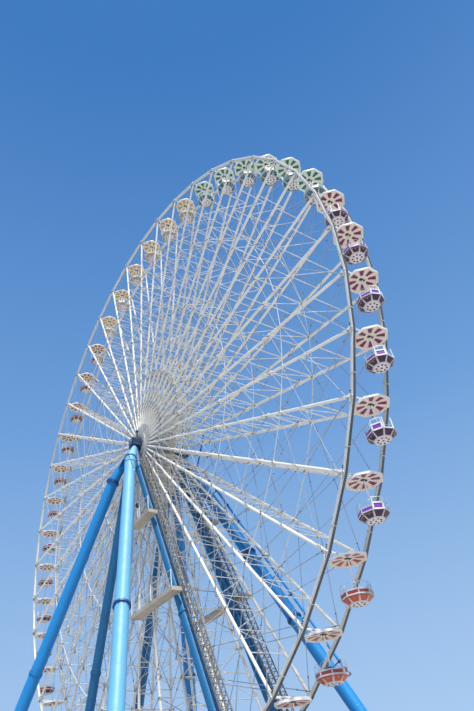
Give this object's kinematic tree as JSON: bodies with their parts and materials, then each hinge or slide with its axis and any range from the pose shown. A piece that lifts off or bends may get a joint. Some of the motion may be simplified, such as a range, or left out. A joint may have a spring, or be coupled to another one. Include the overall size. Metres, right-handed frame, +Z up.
{
  "type": "travelling giant wheel, 1:2 scale model",
  "caption": "Fairground giant wheel on two blue four-legged towers, with open round cabins that hang level between two white spoked rims.",
  "frame": {"origin": "on the ground under the middle of the hub", "axes": "+Z up, +Y along the axle from the front to the rear, +X to the right seen from the front"},
  "size_m": [26.4076, 9.84, 27.2262],
  "materials": {
    "lattice_white": "satin",
    "shaft_steel": "satin",
    "tower_blue": "gloss",
    "crown_blue": "gloss",
    "bearing_navy": "gloss",
    "ladder_grey": "satin",
    "base_grey": "satin",
    "gondola_teal": "gloss",
    "gondola_cream": "gloss",
    "gondola_brown": "gloss",
    "gondola_red": "gloss",
    "gondola_blue": "gloss",
    "gondola_orange": "gloss",
    "gondola_purple": "gloss"
  },
  "bodies": {
    "towers": {"front_bearing_head": "bearing_navy", "front_crown": "crown_blue", "front_left_main_leg": "tower_blue", "front_right_main_leg": "tower_blue", "front_left_outrigger": "tower_blue", "front_right_outrigger": "tower_blue", "front_service_ladder": "ladder_grey", "rear_bearing_head": "bearing_navy", "rear_crown": "crown_blue", "rear_left_main_leg": "tower_blue", "rear_right_main_leg": "tower_blue", "rear_left_outrigger": "tower_blue", "rear_right_outrigger": "tower_blue", "rear_service_ladder": "ladder_grey", "base_frame": "base_grey"},
    "wheel": {"front_wheel_lattice": "lattice_white", "rear_wheel_lattice": "lattice_white", "hub_shaft": "shaft_steel"},
    "cabin_01": {"gondola_01": "gondola_teal"},
    "cabin_02": {"gondola_02": "gondola_cream"},
    "cabin_03": {"gondola_03": "gondola_cream"},
    "cabin_04": {"gondola_04": "gondola_cream"},
    "cabin_05": {"gondola_05": "gondola_cream"},
    "cabin_06": {"gondola_06": "gondola_cream"},
    "cabin_07": {"gondola_07": "gondola_cream"},
    "cabin_08": {"gondola_08": "gondola_brown"},
    "cabin_09": {"gondola_09": "gondola_brown"},
    "cabin_10": {"gondola_10": "gondola_brown"},
    "cabin_11": {"gondola_11": "gondola_brown"},
    "cabin_12": {"gondola_12": "gondola_brown"},
    "cabin_13": {"gondola_13": "gondola_brown"},
    "cabin_14": {"gondola_14": "gondola_red"},
    "cabin_15": {"gondola_15": "gondola_red"},
    "cabin_16": {"gondola_16": "gondola_red"},
    "cabin_17": {"gondola_17": "gondola_red"},
    "cabin_18": {"gondola_18": "gondola_red"},
    "cabin_19": {"gondola_19": "gondola_red"},
    "cabin_20": {"gondola_20": "gondola_blue"},
    "cabin_21": {"gondola_21": "gondola_blue"},
    "cabin_22": {"gondola_22": "gondola_blue"},
    "cabin_23": {"gondola_23": "gondola_blue"},
    "cabin_24": {"gondola_24": "gondola_blue"},
    "cabin_25": {"gondola_25": "gondola_blue"},
    "cabin_26": {"gondola_26": "gondola_orange"},
    "cabin_27": {"gondola_27": "gondola_orange"},
    "cabin_28": {"gondola_28": "gondola_orange"},
    "cabin_29": {"gondola_29": "gondola_orange"},
    "cabin_30": {"gondola_30": "gondola_orange"},
    "cabin_31": {"gondola_31": "gondola_orange"},
    "cabin_32": {"gondola_32": "gondola_purple"},
    "cabin_33": {"gondola_33": "gondola_purple"},
    "cabin_34": {"gondola_34": "gondola_purple"},
    "cabin_35": {"gondola_35": "gondola_purple"},
    "cabin_36": {"gondola_36": "gondola_purple"},
    "cabin_37": {"gondola_37": "gondola_purple"},
    "cabin_38": {"gondola_38": "gondola_teal"},
    "cabin_39": {"gondola_39": "gondola_teal"},
    "cabin_40": {"gondola_40": "gondola_teal"},
    "cabin_41": {"gondola_41": "gondola_teal"},
    "cabin_42": {"gondola_42": "gondola_teal"}
  },
  "joints": [
    {"name": "wheel_spin", "type": "hinge", "parent": "towers", "child": "wheel", "pos_m": [0, 0, 14.45], "axis": [0, 1, 0], "continuous": true},
    {"name": "cabin_01_level", "type": "hinge", "parent": "wheel", "child": "cabin_01", "pos_m": [6.22215, 0, 25.57867], "axis": [0, 1, 0], "continuous": true},
    {"name": "cabin_02_level", "type": "hinge", "parent": "wheel", "child": "cabin_02", "pos_m": [4.49401, 0, 26.38174], "axis": [0, 1, 0], "continuous": true},
    {"name": "cabin_03_level", "type": "hinge", "parent": "wheel", "child": "cabin_03", "pos_m": [2.66549, 0, 26.91827], "axis": [0, 1, 0], "continuous": true},
    {"name": "cabin_04_level", "type": "hinge", "parent": "wheel", "child": "cabin_04", "pos_m": [0.77742, 0, 27.17628], "axis": [0, 1, 0], "continuous": true},
    {"name": "cabin_05_level", "type": "hinge", "parent": "wheel", "child": "cabin_05", "pos_m": [-1.12802, 0, 27.15], "axis": [0, 1, 0], "continuous": true},
    {"name": "cabin_06_level", "type": "hinge", "parent": "wheel", "child": "cabin_06", "pos_m": [-3.00826, 0, 26.84003], "axis": [0, 1, 0], "continuous": true},
    {"name": "cabin_07_level", "type": "hinge", "parent": "wheel", "child": "cabin_07", "pos_m": [-4.8213, 0, 26.25329], "axis": [0, 1, 0], "continuous": true},
    {"name": "cabin_08_level", "type": "hinge", "parent": "wheel", "child": "cabin_08", "pos_m": [-6.52663, 0, 25.40288], "axis": [0, 1, 0], "continuous": true},
    {"name": "cabin_09_level", "type": "hinge", "parent": "wheel", "child": "cabin_09", "pos_m": [-8.08618, 0, 24.3078], "axis": [0, 1, 0], "continuous": true},
    {"name": "cabin_10_level", "type": "hinge", "parent": "wheel", "child": "cabin_10", "pos_m": [-9.46509, 0, 22.99251], "axis": [0, 1, 0], "continuous": true},
    {"name": "cabin_11_level", "type": "hinge", "parent": "wheel", "child": "cabin_11", "pos_m": [-10.63257, 0, 21.4864], "axis": [0, 1, 0], "continuous": true},
    {"name": "cabin_12_level", "type": "hinge", "parent": "wheel", "child": "cabin_12", "pos_m": [-11.56253, 0, 19.82311], "axis": [0, 1, 0], "continuous": true},
    {"name": "cabin_13_level", "type": "hinge", "parent": "wheel", "child": "cabin_13", "pos_m": [-12.23421, 0, 18.03979], "axis": [0, 1, 0], "continuous": true},
    {"name": "cabin_14_level", "type": "hinge", "parent": "wheel", "child": "cabin_14", "pos_m": [-12.6326, 0, 16.17628], "axis": [0, 1, 0], "continuous": true},
    {"name": "cabin_15_level", "type": "hinge", "parent": "wheel", "child": "cabin_15", "pos_m": [-12.74879, 0, 14.27421], "axis": [0, 1, 0], "continuous": true},
    {"name": "cabin_16_level", "type": "hinge", "parent": "wheel", "child": "cabin_16", "pos_m": [-12.58019, 0, 12.37606], "axis": [0, 1, 0], "continuous": true},
    {"name": "cabin_17_level", "type": "hinge", "parent": "wheel", "child": "cabin_17", "pos_m": [-12.13058, 0, 10.52425], "axis": [0, 1, 0], "continuous": true},
    {"name": "cabin_18_level", "type": "hinge", "parent": "wheel", "child": "cabin_18", "pos_m": [-11.40999, 0, 8.76012], "axis": [0, 1, 0], "continuous": true},
    {"name": "cabin_19_level", "type": "hinge", "parent": "wheel", "child": "cabin_19", "pos_m": [-10.43452, 0, 7.12311], "axis": [0, 1, 0], "continuous": true},
    {"name": "cabin_20_level", "type": "hinge", "parent": "wheel", "child": "cabin_20", "pos_m": [-9.22595, 0, 5.64976], "axis": [0, 1, 0], "continuous": true},
    {"name": "cabin_21_level", "type": "hinge", "parent": "wheel", "child": "cabin_21", "pos_m": [-7.8113, 0, 4.37299], "axis": [0, 1, 0], "continuous": true},
    {"name": "cabin_22_level", "type": "hinge", "parent": "wheel", "child": "cabin_22", "pos_m": [-6.22215, 0, 3.32133], "axis": [0, 1, 0], "continuous": true},
    {"name": "cabin_23_level", "type": "hinge", "parent": "wheel", "child": "cabin_23", "pos_m": [-4.49401, 0, 2.51826], "axis": [0, 1, 0], "continuous": true},
    {"name": "cabin_24_level", "type": "hinge", "parent": "wheel", "child": "cabin_24", "pos_m": [-2.66549, 0, 1.98173], "axis": [0, 1, 0], "continuous": true},
    {"name": "cabin_25_level", "type": "hinge", "parent": "wheel", "child": "cabin_25", "pos_m": [-0.77742, 0, 1.72372], "axis": [0, 1, 0], "continuous": true},
    {"name": "cabin_26_level", "type": "hinge", "parent": "wheel", "child": "cabin_26", "pos_m": [1.12802, 0, 1.75], "axis": [0, 1, 0], "continuous": true},
    {"name": "cabin_27_level", "type": "hinge", "parent": "wheel", "child": "cabin_27", "pos_m": [3.00826, 0, 2.05997], "axis": [0, 1, 0], "continuous": true},
    {"name": "cabin_28_level", "type": "hinge", "parent": "wheel", "child": "cabin_28", "pos_m": [4.8213, 0, 2.64671], "axis": [0, 1, 0], "continuous": true},
    {"name": "cabin_29_level", "type": "hinge", "parent": "wheel", "child": "cabin_29", "pos_m": [6.52663, 0, 3.49712], "axis": [0, 1, 0], "continuous": true},
    {"name": "cabin_30_level", "type": "hinge", "parent": "wheel", "child": "cabin_30", "pos_m": [8.08618, 0, 4.5922], "axis": [0, 1, 0], "continuous": true},
    {"name": "cabin_31_level", "type": "hinge", "parent": "wheel", "child": "cabin_31", "pos_m": [9.46509, 0, 5.90749], "axis": [0, 1, 0], "continuous": true},
    {"name": "cabin_32_level", "type": "hinge", "parent": "wheel", "child": "cabin_32", "pos_m": [10.63257, 0, 7.4136], "axis": [0, 1, 0], "continuous": true},
    {"name": "cabin_33_level", "type": "hinge", "parent": "wheel", "child": "cabin_33", "pos_m": [11.56253, 0, 9.07689], "axis": [0, 1, 0], "continuous": true},
    {"name": "cabin_34_level", "type": "hinge", "parent": "wheel", "child": "cabin_34", "pos_m": [12.23421, 0, 10.86021], "axis": [0, 1, 0], "continuous": true},
    {"name": "cabin_35_level", "type": "hinge", "parent": "wheel", "child": "cabin_35", "pos_m": [12.6326, 0, 12.72372], "axis": [0, 1, 0], "continuous": true},
    {"name": "cabin_36_level", "type": "hinge", "parent": "wheel", "child": "cabin_36", "pos_m": [12.74879, 0, 14.62579], "axis": [0, 1, 0], "continuous": true},
    {"name": "cabin_37_level", "type": "hinge", "parent": "wheel", "child": "cabin_37", "pos_m": [12.58019, 0, 16.52394], "axis": [0, 1, 0], "continuous": true},
    {"name": "cabin_38_level", "type": "hinge", "parent": "wheel", "child": "cabin_38", "pos_m": [12.13058, 0, 18.37575], "axis": [0, 1, 0], "continuous": true},
    {"name": "cabin_39_level", "type": "hinge", "parent": "wheel", "child": "cabin_39", "pos_m": [11.40999, 0, 20.13988], "axis": [0, 1, 0], "continuous": true},
    {"name": "cabin_40_level", "type": "hinge", "parent": "wheel", "child": "cabin_40", "pos_m": [10.43452, 0, 21.77689], "axis": [0, 1, 0], "continuous": true},
    {"name": "cabin_41_level", "type": "hinge", "parent": "wheel", "child": "cabin_41", "pos_m": [9.22595, 0, 23.25024], "axis": [0, 1, 0], "continuous": true},
    {"name": "cabin_42_level", "type": "hinge", "parent": "wheel", "child": "cabin_42", "pos_m": [7.8113, 0, 24.52701], "axis": [0, 1, 0], "continuous": true}
  ],
  "couplings": [
    {"joint": "cabin_01_level", "follows": "wheel_spin", "ratio": -1},
    {"joint": "cabin_02_level", "follows": "wheel_spin", "ratio": -1},
    {"joint": "cabin_03_level", "follows": "wheel_spin", "ratio": -1},
    {"joint": "cabin_04_level", "follows": "wheel_spin", "ratio": -1},
    {"joint": "cabin_05_level", "follows": "wheel_spin", "ratio": -1},
    {"joint": "cabin_06_level", "follows": "wheel_spin", "ratio": -1},
    {"joint": "cabin_07_level", "follows": "wheel_spin", "ratio": -1},
    {"joint": "cabin_08_level", "follows": "wheel_spin", "ratio": -1},
    {"joint": "cabin_09_level", "follows": "wheel_spin", "ratio": -1},
    {"joint": "cabin_10_level", "follows": "wheel_spin", "ratio": -1},
    {"joint": "cabin_11_level", "follows": "wheel_spin", "ratio": -1},
    {"joint": "cabin_12_level", "follows": "wheel_spin", "ratio": -1},
    {"joint": "cabin_13_level", "follows": "wheel_spin", "ratio": -1},
    {"joint": "cabin_14_level", "follows": "wheel_spin", "ratio": -1},
    {"joint": "cabin_15_level", "follows": "wheel_spin", "ratio": -1},
    {"joint": "cabin_16_level", "follows": "wheel_spin", "ratio": -1},
    {"joint": "cabin_17_level", "follows": "wheel_spin", "ratio": -1},
    {"joint": "cabin_18_level", "follows": "wheel_spin", "ratio": -1},
    {"joint": "cabin_19_level", "follows": "wheel_spin", "ratio": -1},
    {"joint": "cabin_20_level", "follows": "wheel_spin", "ratio": -1},
    {"joint": "cabin_21_level", "follows": "wheel_spin", "ratio": -1},
    {"joint": "cabin_22_level", "follows": "wheel_spin", "ratio": -1},
    {"joint": "cabin_23_level", "follows": "wheel_spin", "ratio": -1},
    {"joint": "cabin_24_level", "follows": "wheel_spin", "ratio": -1},
    {"joint": "cabin_25_level", "follows": "wheel_spin", "ratio": -1},
    {"joint": "cabin_26_level", "follows": "wheel_spin", "ratio": -1},
    {"joint": "cabin_27_level", "follows": "wheel_spin", "ratio": -1},
    {"joint": "cabin_28_level", "follows": "wheel_spin", "ratio": -1},
    {"joint": "cabin_29_level", "follows": "wheel_spin", "ratio": -1},
    {"joint": "cabin_30_level", "follows": "wheel_spin", "ratio": -1},
    {"joint": "cabin_31_level", "follows": "wheel_spin", "ratio": -1},
    {"joint": "cabin_32_level", "follows": "wheel_spin", "ratio": -1},
    {"joint": "cabin_33_level", "follows": "wheel_spin", "ratio": -1},
    {"joint": "cabin_34_level", "follows": "wheel_spin", "ratio": -1},
    {"joint": "cabin_35_level", "follows": "wheel_spin", "ratio": -1},
    {"joint": "cabin_36_level", "follows": "wheel_spin", "ratio": -1},
    {"joint": "cabin_37_level", "follows": "wheel_spin", "ratio": -1},
    {"joint": "cabin_38_level", "follows": "wheel_spin", "ratio": -1},
    {"joint": "cabin_39_level", "follows": "wheel_spin", "ratio": -1},
    {"joint": "cabin_40_level", "follows": "wheel_spin", "ratio": -1},
    {"joint": "cabin_41_level", "follows": "wheel_spin", "ratio": -1},
    {"joint": "cabin_42_level", "follows": "wheel_spin", "ratio": -1}
  ]
}
